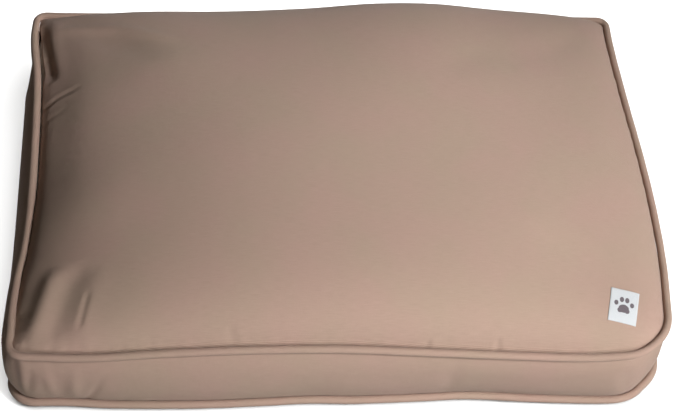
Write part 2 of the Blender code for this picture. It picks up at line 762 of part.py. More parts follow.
def make_liner():
    """A cotton bag in two halves, sewn together round its middle with the edges inside."""
    outline = stitch_line(LINER_CORNER_STEPS, LONG_STEPS // 2, SHORT_STEPS // 2)
    halves = (("upper", 1, liner_top_z), ("lower", -1, liner_bottom_z))
    for name, way, height in halves:
        seam_z = MIDDLE_Z + way * (GAP + LINER) / 2
        turned = -LINER_INSET - LINER_ALLOWANCE
        rings = [
            offset_ring(outline, turned, seam_z),
            offset_ring(outline, -LINER_INSET - LINER, seam_z),
            offset_ring(outline, -LINER_INSET, seam_z + way * LINER),
            scaled_ring(outline, -LINER_INSET, 1.0, height),
        ]
        for share in LINER_RINGS:
            rings.append(scaled_ring(outline, -LINER_INSET, share, height))
        cloth_from_rings(f"liner_{name}", rings, LINER, COTTON_WHITE)


def make_fill():
    """Loose polyester fibre, as the shape that it takes inside the liner."""
    outline = stitch_line(LINER_CORNER_STEPS, LONG_STEPS // 2, SHORT_STEPS // 2)
    out = -LINER_INSET - FILL_ROOM
    waist = out - LINER_ALLOWANCE
    seam_half = LINER + GAP + FILL_ROOM
    rings = [
        scaled_ring(outline, out, share, lambda x, y: liner_bottom_z(x, y) + FILL_ROOM)
        for share in (*LINER_RINGS[::-1], 1.0)
    ]
    rings.append(offset_ring(outline, out, MIDDLE_Z - seam_half))
    rings.append(offset_ring(outline, waist, MIDDLE_Z - seam_half / 2))
    rings.append(offset_ring(outline, waist, MIDDLE_Z + seam_half / 2))
    rings.append(offset_ring(outline, out, MIDDLE_Z + seam_half))
    rings += [
        scaled_ring(outline, out, share, lambda x, y: liner_top_z(x, y) - FILL_ROOM)
        for share in (1.0, *LINER_RINGS)
    ]
    bm = bmesh.new()
    loops = [[bm.verts.new(point) for point in ring] for ring in rings]
    for first, second in zip(loops, loops[1:]):
        join_loops(bm, first, second)
    bm.faces.new(loops[0])
    bm.faces.new(loops[-1])
    add_object("fibre_fill", mesh_from(bm, "fibre_fill"), FIBRE_WHITE)


clear_scene()
top_panel = make_top_panel()
make_bottom_panel()
make_wrap_band()
make_zip_strips()
make_piping()
make_zip()
make_label(top_panel)
make_label_stitching(top_panel)
make_care_label()
make_liner()
make_fill()
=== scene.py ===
import math

import bmesh
import bpy
import numpy as np
from mathutils import Matrix, Vector
from mathutils.bvhtree import BVHTree
from mathutils.kdtree import KDTree


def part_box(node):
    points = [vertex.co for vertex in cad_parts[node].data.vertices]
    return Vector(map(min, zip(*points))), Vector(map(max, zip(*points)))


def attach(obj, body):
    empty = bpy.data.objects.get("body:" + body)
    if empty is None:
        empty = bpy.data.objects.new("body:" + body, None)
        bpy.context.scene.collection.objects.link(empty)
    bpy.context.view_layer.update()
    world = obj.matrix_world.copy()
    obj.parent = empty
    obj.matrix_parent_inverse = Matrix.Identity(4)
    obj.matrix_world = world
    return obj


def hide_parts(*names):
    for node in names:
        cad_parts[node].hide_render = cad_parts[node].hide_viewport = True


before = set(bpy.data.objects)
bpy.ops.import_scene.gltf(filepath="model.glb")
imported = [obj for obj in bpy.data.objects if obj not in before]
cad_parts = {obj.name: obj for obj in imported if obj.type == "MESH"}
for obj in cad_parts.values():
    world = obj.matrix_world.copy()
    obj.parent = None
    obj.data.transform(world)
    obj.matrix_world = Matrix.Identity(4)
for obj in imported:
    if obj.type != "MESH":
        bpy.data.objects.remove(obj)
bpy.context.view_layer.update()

# The cover's seams: the top and bottom panels are sewn to the band with piping between them, and
# the fibre pushes both seams a little out of true. A seam runs anticlockwise from the front left
# corner, so 0 to 1 is the front, 1 to 2 the right side, 2 to 3 the back and 3 to 4 the left side.
sleeve_low, sleeve_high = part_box("top_piping_sleeve")
bottom_low, bottom_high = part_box("bottom_piping_sleeve")
PIPE_RADIUS = (sleeve_high[2] - sleeve_low[2]) / 2
HALF_LENGTH = sleeve_high[0] - PIPE_RADIUS
HALF_DEPTH = sleeve_high[1] - PIPE_RADIUS
TOP_SEAM_Z = (sleeve_low[2] + sleeve_high[2]) / 2
BOTTOM_SEAM_Z = (bottom_low[2] + bottom_high[2]) / 2
STITCH_IN = PIPE_RADIUS + 0.0004  # from the middle of the cord in to the stitches
SEAM_STEPS = 6000  # points in the finest line of a seam
TOP_CORNERS = (0.016, 0.066, 0.015, 0.014)  # radii, from the front left corner
BOTTOM_CORNERS = (0.030, 0.070, 0.035, 0.035)

# Where along the seam, how far out and how far up it is pushed, in millimetres.
TOP_SEAM_WANDER = (
    (0.00, 5, -1), (0.05, 6, -3), (0.12, 6, -4), (0.22, 1.5, -1), (0.35, -2, 2.5),
    (0.50, -3, 3), (0.64, 0.5, 0), (0.75, 3, -3), (0.87, 5, -5), (0.95, 3, -1),
    (1.00, 1, 1), (1.08, 3, 1), (1.24, 12, 0), (1.40, 14, 0), (1.56, 11, 0), (1.72, 5, 0),
    (1.90, 0, 0), (2.00, 0, 0), (2.12, 0, 0), (2.22, 1, 1), (2.32, 4, 6), (2.42, 4, 5),
    (2.53, 0, 0), (2.68, -2, -2), (2.80, -2, -2), (2.92, -2, -4), (3.00, 1, -6),
    (3.06, 3, -4), (3.12, 1, -2), (3.20, -5, 0), (3.30, -8, 0), (3.45, -10, 0),
    (3.62, -10.5, 0), (3.73, -7, 0), (3.80, -1, 0), (3.88, 3, 0), (3.95, 4, 0),
)
BOTTOM_SEAM_WANDER = (
    (0.00, 6, 0), (0.07, 4, 0), (0.15, 7, -2), (0.28, 7.5, -2), (0.38, 4, -1), (0.45, 1, 0),
    (0.52, 1.5, 0), (0.62, -2, 0.5), (0.70, -5, 1.5), (0.80, -1, 0), (0.90, 2, 0), (0.97, 0, 0),
    (1.00, -2, 0.5), (1.08, 2, 1), (1.25, 6, 0), (1.50, 6, -1), (1.75, 2, 0), (1.95, -1, 1),
    (2.10, 0, 0), (2.50, 1, 0), (2.90, 0, 0), (3.05, 3, 1), (3.30, 6, 0), (3.60, 7, 0),
    (3.85, 6, 0), (3.95, 7, 0),
)


def loop_curve(places, values, at):
    """A smooth closed curve through the values at these places, read at other places."""
    places = np.concatenate([np.array(places[-2:]) - 4, places, np.array(places[:2]) + 4])
    values = np.concatenate([values[-2:], values, values[:2]])
    k = np.clip(np.searchsorted(places, at, side="right") - 1, 1, len(places) - 3)
    x0, x1 = places[k], places[k + 1]
    t = (at - x0) / (x1 - x0)
    y0, y1 = values[k], values[k + 1]
    m0 = (y1 - values[k - 1]) / (x1 - places[k - 1]) * (x1 - x0)
    m1 = (values[k + 2] - y0) / (places[k + 2] - x0) * (x1 - x0)
    return (
        (2 * t**3 - 3 * t**2 + 1) * y0 + (t**3 - 2 * t**2 + t) * m0
        + (-2 * t**3 + 3 * t**2) * y1 + (t**3 - t**2) * m1
    )


def lengths_along(line):
    """How far along a line of points each of them is."""
    return np.concatenate([[0], np.cumsum(np.linalg.norm(np.diff(line, axis=0), axis=1))])


def spread_along(line, along, want):
    """The points of a line at the wanted lengths along it."""
    return np.column_stack([np.interp(want, along, line[:, k]) for k in range(3)])


def seam_line(wander, radii, seam_z, inset):
    """The points of a seam and its outward directions, finely, from the front left corner."""
    corners = np.array([(-1, -1), (1, -1), (1, 1), (-1, 1)]) * (HALF_LENGTH, HALF_DEPTH)
    at = np.arange(SEAM_STEPS) * 4 / SEAM_STEPS
    flat, out = np.zeros((SEAM_STEPS, 2)), np.zeros((SEAM_STEPS, 2))
    for n, u in enumerate(at):
        side = int(u)
        a, b = corners[side], corners[(side + 1) % 4]
        length = np.linalg.norm(b - a)
        along = (b - a) / length
        away = np.array((along[1], -along[0]))
        done = (u - side) * length
        before, after = radii[side], radii[(side + 1) % 4]
        if done < before:
            angle = math.radians(45 - 45 * done / before)
            centre = a + along * before - away * before
            out[n] = away * math.cos(angle) - along * math.sin(angle)
            flat[n] = centre + out[n] * before
        elif length - done < after:
            angle = math.radians(45 - 45 * (length - done) / after)
            centre = b - along * after - away * after
            out[n] = away * math.cos(angle) + along * math.sin(angle)
            flat[n] = centre + out[n] * after
        else:
            flat[n], out[n] = a + along * done, away
    places, push, lift = (np.array(column, float) for column in zip(*wander))
    flat = flat + out * (loop_curve(places, push, at) / 1000 - inset)[:, None]
    z = seam_z + loop_curve(places, lift, at) / 1000
    return at, np.column_stack([flat, z])


def along_side(at, line, side, shares):
    """Points along one side of a seam line, at these shares of its length."""
    places = np.append(at, 4.0)
    part = np.vstack([line, line[:1]])[(places >= side) & (places <= side + 1)]
    along = lengths_along(part)
    return spread_along(part, along, along[-1] * np.asarray(shares))


# The cushion as it fills its cover. The three parts of the cover are cut flat, sewn up into a box
# and stuffed, so the cloth between the seams blows up into a crown and soft folds gather where
# the cut has cloth to spare. The underside lies flat, under the weight of the fibre.
CELLS_ALONG, CELLS_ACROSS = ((112, 84))
ZIP_HALF, ZIP_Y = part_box("zip_strip_upper")[1][:2]
MIDDLE_Z = (TOP_SEAM_Z + BOTTOM_SEAM_Z) / 2
HALF_BAND = (TOP_SEAM_Z - BOTTOM_SEAM_Z) / 2
WINDOW = 0.006  # half the gap between the two zip strips
BAND_LEVELS = np.array([1, 0.86, 0.72, 0.56, 0.41, 0.26, WINDOW / HALF_BAND])
BAND_LEVELS = np.concatenate([BAND_LEVELS, -BAND_LEVELS[::-1]])
CROWN = 0.080  # from the top seam to the top of the crown
CUT_EASE = 0.002  # how much longer the cut is than the finished seam
REST_Z = 0.0012  # the underside's height where it lies flat
FLAT_SHARE = 0.86  # how much of the underside lies flat
BULGES = {(0, -1): 0.012, (1, 0): 0.009, (0, 1): 0.013, (-1, 0): 0.021}  # of the band, by side
TAPER = 0.14  # how far from a left corner the band's bulge grows to its full size
SLUMPS = ((0.19, -0.42, 0.40), (0.06, 0.75, 0.25))  # share lost at the back, where, how wide
ROLL_ALONG = ((3.0, 1.7), (4.6, 2.0))  # how square the crown's shoulders are: left, right
ROLL_ACROSS = ((4.2, 1.9), (6.0, 2.4))  # front, back


def shoulder(share, rolls):
    """The crown's height along one direction, 1 at the middle and 0 at both seams."""
    (low, low_root), (high, high_root) = rolls
    share = np.asarray(share)
    power = np.where(share < 0, low, high)
    root = np.where(share < 0, low_root, high_root)
    return np.clip(1 - np.abs(share) ** power, 0, 1) ** (1 / root)


def even_shares(count, half, rolls):
    """Places from -1 to 1 that lie evenly along the crowned cloth."""
    fine = np.sin(np.linspace(-math.pi / 2, math.pi / 2, 8001))
    along = np.hypot(np.diff(fine) * half, np.diff(shoulder(fine, rolls)) * CROWN)
    along = np.concatenate([[0], np.cumsum(along)])
    return np.interp(np.linspace(0, along[-1], count + 1), along, fine)


SHARES_ALONG = even_shares(CELLS_ALONG, HALF_LENGTH, ROLL_ALONG)
SHARES_ACROSS = even_shares(CELLS_ACROSS, HALF_DEPTH, ROLL_ACROSS)


def side_loop(at, line):
    """The four sides of a seam as grid edges: front, right, back and left."""
    u, v = (1 + SHARES_ALONG) / 2, (1 + SHARES_ACROSS) / 2
    shares = (u, v, 1 - u[::-1], 1 - v[::-1])
    return [along_side(at, line, side, share) for side, share in enumerate(shares)]


def panel_grid(sides):
    """A grid of points stretched evenly between the four sides of a seam."""
    front, right, back, left = sides[0], sides[1], sides[2][::-1], sides[3][::-1]
    u = (1 + SHARES_ALONG[:, None, None]) / 2
    v = (1 + SHARES_ACROSS[None, :, None]) / 2
    between = (1 - v) * front[:, None] + v * back[:, None]
    between = between + (1 - u) * left[None] + u * right[None]
    corners = (1 - u) * (1 - v) * front[0] + u * (1 - v) * front[-1]
    corners = corners + (1 - u) * v * back[0] + u * v * back[-1]
    return between - corners


def grid_edge(grid):
    """The numbers of a grid's edge points, anticlockwise from the front left corner."""
    across = grid.shape[1]
    numbers = np.arange(grid.shape[0] * across).reshape(grid.shape[:2])
    return np.concatenate(
        [numbers[:-1, 0], numbers[-1, :-1], numbers[:0:-1, -1], numbers[0, :0:-1]]
    )


top_at, top_stitches = seam_line(TOP_SEAM_WANDER, TOP_CORNERS, TOP_SEAM_Z, STITCH_IN)
bottom_at, bottom_stitches = seam_line(
    BOTTOM_SEAM_WANDER, BOTTOM_CORNERS, BOTTOM_SEAM_Z, STITCH_IN
)
top_grid = panel_grid(side_loop(top_at, top_stitches))
bottom_grid = panel_grid(side_loop(bottom_at, bottom_stitches))
EDGE = grid_edge(top_grid)
top_loop = top_grid.reshape(-1, 3)[EDGE]
TOP_COUNT = top_grid.shape[0] * top_grid.shape[1]
AROUND = len(EDGE)
BOTTOM_START = TOP_COUNT + (len(BAND_LEVELS) - 2) * AROUND


def outward(loop):
    """The level directions that point away from a closed loop of points."""
    ahead = np.roll(loop, -1, 0) - np.roll(loop, 1, 0)
    away = np.column_stack([ahead[:, 1], -ahead[:, 0], np.zeros(len(loop))])
    return away / np.linalg.norm(away, axis=1)[:, None]


def band_rows(top, bottom):
    """The band's points level by level, down from the top seam, without the seams' own."""
    away = outward(top)
    bulge = sum(np.clip(away[:, :2] @ side, 0, 1) ** 3 * size for side, size in BULGES.items())
    from_back = np.where(away[:, 0] < -0.3, HALF_DEPTH - top[:, 1], 1.0)
    from_front = np.where(away[:, 0] < -0.3, HALF_DEPTH + top[:, 1], 1.0)
    bulge = bulge * np.clip(from_back / TAPER, 0, 1) * np.clip(from_front / TAPER + 0.6, 0.6, 1)
    rows = []
    for level in BAND_LEVELS[1:-1]:
        share = (1 + level) / 2
        row = share * top + (1 - share) * bottom
        rows.append(row + away * bulge[:, None] * (1 - abs(level) ** 2.6))
    return np.array(rows)


def box_shape(top, bottom):
    """The whole cover as one closed shape: top panel, band rows, bottom panel."""
    u, v = SHARES_ALONG[:, None], SHARES_ACROSS[None, :]
    top = top.copy()
    slump = sum(lost * np.exp(-(((u - where) / wide) ** 2)) for lost, where, wide in SLUMPS)
    full = 1 - slump * np.clip((v + 0.1) / 0.9, 0, 1)
    top[:, :, 2] += CROWN * full * shoulder(u, ROLL_ALONG) * shoulder(v, ROLL_ACROSS)
    rows = band_rows(top.reshape(-1, 3)[EDGE], bottom.reshape(-1, 3)[EDGE])
    bottom = bottom.copy()
    share = np.maximum(np.abs(u), np.abs(v))
    rise = np.clip((share - FLAT_SHARE) / (1 - FLAT_SHARE), 0, 1)
    bottom[:, :, 2] = REST_Z + (bottom[:, :, 2] - REST_Z) * rise * rise * (3 - 2 * rise)
    return np.concatenate([top.reshape(-1, 3), rows.reshape(-1, 3), bottom.reshape(-1, 3)])


def cover_faces():
    """The faces of that closed shape, and which part of the cover each belongs to."""
    across = top_grid.shape[1]
    cells = [i * across + j for i in range(CELLS_ALONG) for j in range(CELLS_ACROSS)]
    faces = [(a, a + across, a + across + 1, a + 1) for a in cells]
    part = ["top"] * len(cells)
    levels = [TOP_COUNT + row * AROUND + np.arange(AROUND) for row in range(len(BAND_LEVELS) - 2)]
    levels = [EDGE, *levels, BOTTOM_START + EDGE]
    for row, (upper, lower) in enumerate(zip(levels, levels[1:])):
        for n in range(AROUND):
            m = (n + 1) % AROUND
            faces.append((int(lower[n]), int(lower[m]), int(upper[m]), int(upper[n])))
            part.append(("band", row, n))
    for a in cells:
        a += BOTTOM_START
        faces.append((a, a + 1, a + across + 1, a + across))
    return faces, part + ["bottom"] * len(cells)


COVER_FACES, COVER_PARTS = cover_faces()
start = box_shape(top_grid, bottom_grid)
ease = np.array((1 + CUT_EASE, 1 + CUT_EASE, 1.0))
cut = box_shape(top_grid * ease, bottom_grid * ease)

# The band behind the zip stays straight, held by the zip's tapes.
zip_rows = start[TOP_COUNT:BOTTOM_START].reshape(-1, AROUND, 3)
held = np.zeros(len(start), bool)
held_rows = held[TOP_COUNT:BOTTOM_START].reshape(-1, AROUND)
for row, level in enumerate(BAND_LEVELS[1:-1]):
    if abs(level) < 0.3:
        near_back = zip_rows[row, :, 1] > HALF_DEPTH * 0.9
        inside = near_back & (np.abs(zip_rows[row, :, 0]) < ZIP_HALF + 0.004)
        zip_rows[row, inside, 1] = ZIP_Y - 0.0006 - 0.003 * abs(level) ** 2
        zip_rows[row, inside, 2] = MIDDLE_Z + level * HALF_BAND
        held_rows[row, inside] = True
held[EDGE] = True
held[BOTTOM_START + EDGE] = True
flat_share = np.maximum(np.abs(SHARES_ALONG)[:, None], np.abs(SHARES_ACROSS)[None, :])
held[BOTTOM_START:] |= (flat_share < FLAT_SHARE).ravel()


STUFFING_FRAMES = 20
CANVAS_CLOTH = {
    "quality": 7, "mass": 0.25, "tension_stiffness": 90, "compression_stiffness": 90,
    "shear_stiffness": 30, "bending_stiffness": 1.5, "tension_damping": 12,
    "compression_damping": 12, "shear_damping": 8, "bending_damping": 0.6, "air_damping": 2.5,
    "use_pressure": True, "uniform_pressure_force": 1.2,
}


def stuff(points, pattern, faces, fixed):
    """Blows the cloth up between the points that are fixed, and gives where it settles."""
    mesh = bpy.data.meshes.new("stuffed")
    mesh.from_pydata(points.tolist(), [], faces)
    cloth_object = bpy.data.objects.new("stuffed", mesh)
    bpy.context.collection.objects.link(cloth_object)
    cloth_object.shape_key_add(name="sewn")
    pattern_key = cloth_object.shape_key_add(name="cut")
    pattern_key.data.foreach_set("co", pattern.ravel())
    group = cloth_object.vertex_groups.new(name="seams")
    group.add(np.flatnonzero(fixed).tolist(), 1.0, "REPLACE")
    cloth = cloth_object.modifiers.new("stuffing", "CLOTH")
    settings = cloth.settings
    settings.vertex_group_mass = "seams"
    settings.rest_shape_key = cloth_object.data.shape_keys.key_blocks["cut"]
    for quality, value in CANVAS_CLOTH.items():
        setattr(settings, quality, value)
    settings.effector_weights.gravity = 0
    cloth.collision_settings.use_collision = False
    cloth.collision_settings.use_self_collision = False
    cloth.point_cache.frame_start, cloth.point_cache.frame_end = 1, STUFFING_FRAMES
    for number in range(1, STUFFING_FRAMES + 1):
        bpy.context.scene.frame_set(number)
    shape = cloth_object.evaluated_get(bpy.context.evaluated_depsgraph_get()).data
    settled = np.zeros(len(points) * 3)
    shape.vertices.foreach_get("co", settled)
    bpy.context.scene.frame_set(1)
    bpy.data.objects.remove(cloth_object)
    bpy.data.meshes.remove(mesh)
    return settled.reshape(-1, 3)


cover_points = stuff(start, cut, COVER_FACES, held)

# The loft of the fibre rounds out the smallest folds of the top.
ROUNDING_PASSES = 10
crown_points = cover_points[:TOP_COUNT].reshape(top_grid.shape)
for _ in range(ROUNDING_PASSES):
    beside = crown_points[:-2, 1:-1] + crown_points[2:, 1:-1]
    beside = beside + crown_points[1:-1, :-2] + crown_points[1:-1, 2:]
    crown_points[1:-1, 1:-1] += 0.5 * (beside / 4 - crown_points[1:-1, 1:-1])


# Canvas: a plain weave of dyed cotton yarn, a little uneven in thickness and shade, matt, with a
# soft bloom of loose fibres. Its threads run along the cut, which every piece keeps as a map.
BASE, ROSY = (0.465, 0.333, 0.270), (0.480, 0.323, 0.268)
OLIVE, DARK = (0.440, 0.337, 0.255), (0.400, 0.280, 0.212)
WHITE, SLUB = (1, 1, 1, 1), (0.90, 0.90, 0.90, 1)


def bare_finish(name, values):
    """A new material with these values on its shader, its node tree and the shader."""
    material = bpy.data.materials.new(name)
    material.use_nodes = True
    tree = material.node_tree
    shader = tree.nodes["Principled BSDF"]
    for socket, value in values.items():
        shader.inputs[socket].default_value = value
    return material, tree, shader


def grow(tree, kind, inputs, **settings):
    """Adds a node. Each input is a number, a colour or another node's output."""
    node = tree.nodes.new("ShaderNode" + kind)
    for setting, value in settings.items():
        setattr(node, setting, value)
    for socket, value in inputs.items():
        if isinstance(value, bpy.types.NodeSocket):
            tree.links.new(value, node.inputs[socket])
        else:
            node.inputs[socket].default_value = value
    return node


def mixed(tree, factor, first, second, kind="MIX"):
    """A colour between two others."""
    inputs = {0: factor, 6: first, 7: second}
    return grow(tree, "Mix", inputs, data_type="RGBA", blend_type=kind).outputs[2]


def ranged(tree, value, low, high):
    """A value read as a share of the way from low to high."""
    inputs = {"Value": value, "From Min": low, "From Max": high}
    return grow(tree, "MapRange", inputs).outputs["Result"]


def raised(tree, height, strength, distance, under=None):
    """A relief of this height, on top of another if there is one."""
    inputs = {"Height": height, "Strength": strength, "Distance": distance}
    if under is not None:
        inputs["Normal"] = under
    return grow(tree, "Bump", inputs).outputs["Normal"]


def canvas(name, shade=1.0, thread=0.0006):
    """The cover's canvas, with its threads this far apart."""
    material, tree, shader = bare_finish(name, {
        "Roughness": 0.92, "Specular IOR Level": 0.22, "Sheen Weight": 0.12, "Sheen Roughness": 0.5,
    })
    cut_map = grow(tree, "UVMap", {}, uv_map="cut").outputs["UV"]

    def noise(scale, detail, stretch=(1, 1, 1)):
        place = grow(tree, "Mapping", {"Vector": cut_map, "Scale": stretch}).outputs["Vector"]
        inputs = {"Vector": place, "Scale": scale, "Detail": detail}
        return grow(tree, "TexNoise", inputs).outputs["Fac"]

    def threads(direction):
        inputs = {
            "Vector": cut_map, "Scale": 1 / thread / math.pi, "Distortion": 0.6,
            "Detail Scale": 0.4,
        }
        return grow(tree, "TexWave", inputs, bands_direction=direction).outputs["Fac"]

    base, rosy, olive, dark = (
        tuple(c * shade for c in colour) + (1,) for colour in (BASE, ROSY, OLIVE, DARK)
    )
    colour = mixed(tree, ranged(tree, noise(9, 3), 0.35, 0.65), rosy, olive)
    colour = mixed(tree, 0.5, base, colour)
    slubs = mixed(tree, ranged(tree, noise(1, 4, (60, 1400, 1)), 0.4, 0.75), WHITE, SLUB)
    colour = mixed(tree, 1.0, colour, slubs, "MULTIPLY")
    weave = grow(tree, "Math", {0: threads("X"), 1: threads("Y")}, operation="MULTIPLY").outputs[0]
    holes = mixed(tree, ranged(tree, weave, 0.05, 0.5), dark, WHITE)
    colour = mixed(tree, 0.35, colour, mixed(tree, 1.0, colour, holes, "MULTIPLY"))
    tree.links.new(colour, shader.inputs["Base Color"])
    rough = raised(tree, noise(70, 5), 0.35, 0.0012)
    tree.links.new(raised(tree, weave, 0.5, 0.00025, rough), shader.inputs["Normal"])
    return material


# The top and bottom panels: each is one piece of the canvas, the full size of the bed, cut a
# little large and sewn in all round, so that it gathers at the seams and creases where the
# stuffing leaves it slack.
COVER_THICKNESS = 0.001
cover_canvas = canvas("cover_canvas")


def placed(name, mesh, material):
    """A smooth piece of this mesh and finish."""
    mesh.materials.append(material)
    mesh.shade_smooth()
    piece = bpy.data.objects.new(name, mesh)
    bpy.context.collection.objects.link(piece)
    return piece


def new_piece(name, points, faces, material, places):
    """A piece from its points and faces, with its points' places on the cut kept as a map."""
    mesh = bpy.data.meshes.new(name)
    mesh.from_pydata(np.array(points).tolist(), [], np.array(faces).tolist())
    uv = mesh.uv_layers.new(name="cut")
    uv.data.foreach_set("uv", np.array(places)[np.array(faces).ravel()].ravel())
    return placed(name, mesh, material)


def thicken(piece, thickness):
    """Gives a piece of cloth its thickness, inwards."""
    solid = piece.modifiers.new("cloth", "SOLIDIFY")
    solid.thickness, solid.offset = thickness, -1


def finished(piece):
    """A piece's mesh with its modifiers carried out."""
    return piece.evaluated_get(bpy.context.evaluated_depsgraph_get())


def sewn_piece(name, points, faces, places, material, thickness=COVER_THICKNESS, smooth=1,
               creases=None):
    """A piece of the cover, rounded, creased and then given its thickness."""
    used, faces = np.unique(np.array(faces), return_inverse=True)
    piece = new_piece(name, points[used], faces.reshape(-1, 4), material, places[used])
    if smooth:
        rounding = piece.modifiers.new("rounding", "SUBSURF")
        rounding.levels = rounding.render_levels = smooth
        rounding.boundary_smooth = "PRESERVE_CORNERS"
    if creases:
        fine = bpy.data.meshes.new_from_object(finished(piece))
        piece.modifiers.clear()
        piece.data = fine
        where, out = np.zeros(len(fine.vertices) * 3), np.zeros(len(fine.vertices) * 3)
        fine.vertices.foreach_get("co", where)
        fine.vertices.foreach_get("normal", out)
        where, out = where.reshape(-1, 3), out.reshape(-1, 3)
        where = where + out * creases(where)[:, None]
        where[:, 2] = np.maximum(where[:, 2], REST_Z / 2)
        fine.vertices.foreach_set("co", where.ravel())
        fine.update()
    if thickness:
        thicken(piece, thickness)
    return piece


def even_spots(line, spacing):
    """A closed line with its points evenly apart, and how far along it each is."""
    closed = np.vstack([line, line[:1]])
    along = lengths_along(closed)
    want = np.linspace(0, along[-1], int(along[-1] / spacing) + 1)[:-1]
    return spread_along(closed, along, want), want


def stitch_spots(line):
    """A seam's stitches, ready to be searched, and how far along each is."""
    spots, along = even_spots(line, 0.002)
    tree = KDTree(len(spots))
    for n, spot in enumerate(spots):
        tree.insert(spot, n)
    tree.balance()
    return tree, along


TOP_SPOTS, BOTTOM_SPOTS = stitch_spots(top_stitches), stitch_spots(bottom_stitches)
GATHER = 0.0005  # how high the gathers at a seam stand
# How far apart gathers lie, how high they are, and how they wander along the seam.
GATHERS = (
    (0.019, 0.55, 1.1, 9, 0, 0), (0.033, 0.75, 1.7, 5, 1, 0), (0.058, 0.6, 0, 0, 0, 2.0),
)


def puckers(where, seam, reach):
    """Short soft gathers that run out from a seam, each a different length."""
    tree, along = seam
    found = [tree.find(point) for point in where]
    place = along[[n for _, n, _ in found]]
    away = np.array([distance for _, _, distance in found])
    gathers = sum(
        size * np.sin(place * 2 * math.pi / apart + sway * np.sin(place * rate + turn) + late)
        for apart, size, sway, rate, turn, late in GATHERS
    )
    strength = 0.35 + 0.65 * np.clip(np.sin(place * 11) + np.sin(place * 4.3 + 2), 0, 1.4)
    longer = reach * (0.7 + 0.5 * np.sin(place * 23 + 0.6) ** 2)
    return GATHER * gathers * strength * np.exp(-away / longer) * np.clip(away / 0.004, 0, 1)


def crease(where, path, width, depth, lip=0.4):
    """A valley (or with a negative depth a ridge) along a path in plan, fading at both ends."""
    path = np.array(path, float)
    best, share = np.full(len(where), 1e9), np.zeros(len(where))
    done, total = 0.0, lengths_along(path)[-1]
    for a, b in zip(path, path[1:]):
        length = np.linalg.norm(b - a)
        t = np.clip((where[:, :2] - a) @ (b - a) / length**2, 0, 1)
        gap = np.linalg.norm(where[:, :2] - a - t[:, None] * (b - a), axis=1)
        near = gap < best
        best[near] = gap[near]
        share[near] = ((done + t * length) / total)[near]
        done += length
    fade = np.clip(np.sin(math.pi * np.clip(share, 0.0, 1.0)) * 1.6, 0, 1)
    profile = np.exp(-((best / width) ** 2)) - lip * np.exp(-(((best - 2 * width) / width) ** 2))
    return -depth * fade * profile


def part_faces(wanted):
    """The faces of the cover's wanted parts."""
    return [face for face, part in zip(COVER_FACES, COVER_PARTS) if wanted(part)]


# Each fold's path in plan, its width, its depth (a ridge's is negative) and how high its lip is.
TOP_FOLDS = (
    (((-0.446, 0.310), (-0.441, 0.262), (-0.433, 0.200), (-0.424, 0.17)), 0.009, 0.0078, 0.08),
    (((-0.436, 0.312), (-0.413, 0.281), (-0.321, 0.258), (-0.229, 0.211)), 0.011, -0.0026, 0.1),
    (((-0.443, 0.118), (-0.415, 0.132), (-0.375, 0.138)), 0.0045, 0.0010),
    (((-0.440, 0.085), (-0.418, 0.096), (-0.398, 0.098)), 0.005, 0.0004),
    (((-0.395, -0.215), (-0.403, -0.243), (-0.412, -0.278), (-0.428, -0.330)), 0.012, -0.004),
    (((-0.356, -0.215), (-0.366, -0.245), (-0.378, -0.281), (-0.392, -0.335)), 0.015, 0.0025),
    (((-0.349, -0.262), (-0.354, -0.285), (-0.362, -0.318)), 0.004, 0.0012, 0.25),
    (((0.110, -0.326), (0.114, -0.340)), 0.004, 0.0008),
    (((0.206, -0.326), (0.210, -0.340)), 0.004, 0.0008),
    (((-0.160, -0.315), (-0.150, -0.338)), 0.006, 0.0007),
)
# Where the fibre is piled up or thin in plan, how far it reaches, and how high or low it lies.
UNEVEN_FILL = ((-0.350, -0.110, 0.075, 0.006), (-0.360, 0.200, 0.085, -0.006))
LEFT_SINK = 0.006  # how far the left shoulder sinks
LEFT_STITCHES = -0.452  # where the panel meets its left seam


def top_creases(where):
    """Where the stuffing leaves the top panel slack: mostly along its left side."""
    across, along = where[:, 0], where[:, 1]
    move = puckers(where, TOP_SPOTS, 0.014)
    for path, width, depth, *lip in TOP_FOLDS:
        move += crease(where, path, width, depth, *lip)
    sunk = np.exp(-(((across + 0.415) / 0.035) ** 2))
    sunk = sunk * np.clip((across - LEFT_STITCHES) / 0.02, 0, 1)
    move -= LEFT_SINK * sunk * np.exp(-(((along - 0.10) / 0.20) ** 4))
    for x, y, reach, height in UNEVEN_FILL:
        gap = np.hypot(across - x, along - y) / reach
        move += height * np.exp(-(gap**2)) * np.clip((across - LEFT_STITCHES) / 0.03, 0, 1)
    swell = np.sin(across * 11 + 0.7) * np.sin(along * 13 - 0.4)
    middle = np.clip((where[:, 2] - TOP_SEAM_Z) / CROWN, 0, 1) ** 2
    return move + 0.0016 * swell * middle


flat_map = np.zeros((len(cover_points), 2))
flat_map[:TOP_COUNT] = (top_grid * ease).reshape(-1, 3)[:, :2]
flat_map[BOTTOM_START:] = (bottom_grid * ease).reshape(-1, 3)[:, :2]
BAND_CUT = HALF_BAND * 1.1  # half the height of the band as it is cut
around = lengths_along(np.vstack([top_loop, top_loop[:1]]))[:-1]
for row, level in enumerate(BAND_LEVELS[1:-1]):
    rows = slice(TOP_COUNT + row * AROUND, TOP_COUNT + (row + 1) * AROUND)
    flat_map[rows] = np.column_stack([around, np.full(AROUND, level * BAND_CUT)])
top_panel = sewn_piece(
    "top_panel", cover_points, part_faces(lambda part: part == "top"), flat_map, cover_canvas,
    smooth=2, creases=top_creases,
)
bottom_panel = sewn_piece(
    "bottom_panel", cover_points, part_faces(lambda part: part == "bottom"), flat_map, cover_canvas
)
for piece, node in ((top_panel, "cover_top_panel"), (bottom_panel, "cover_bottom_panel")):
    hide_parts(node)
    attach(piece, "cushion")

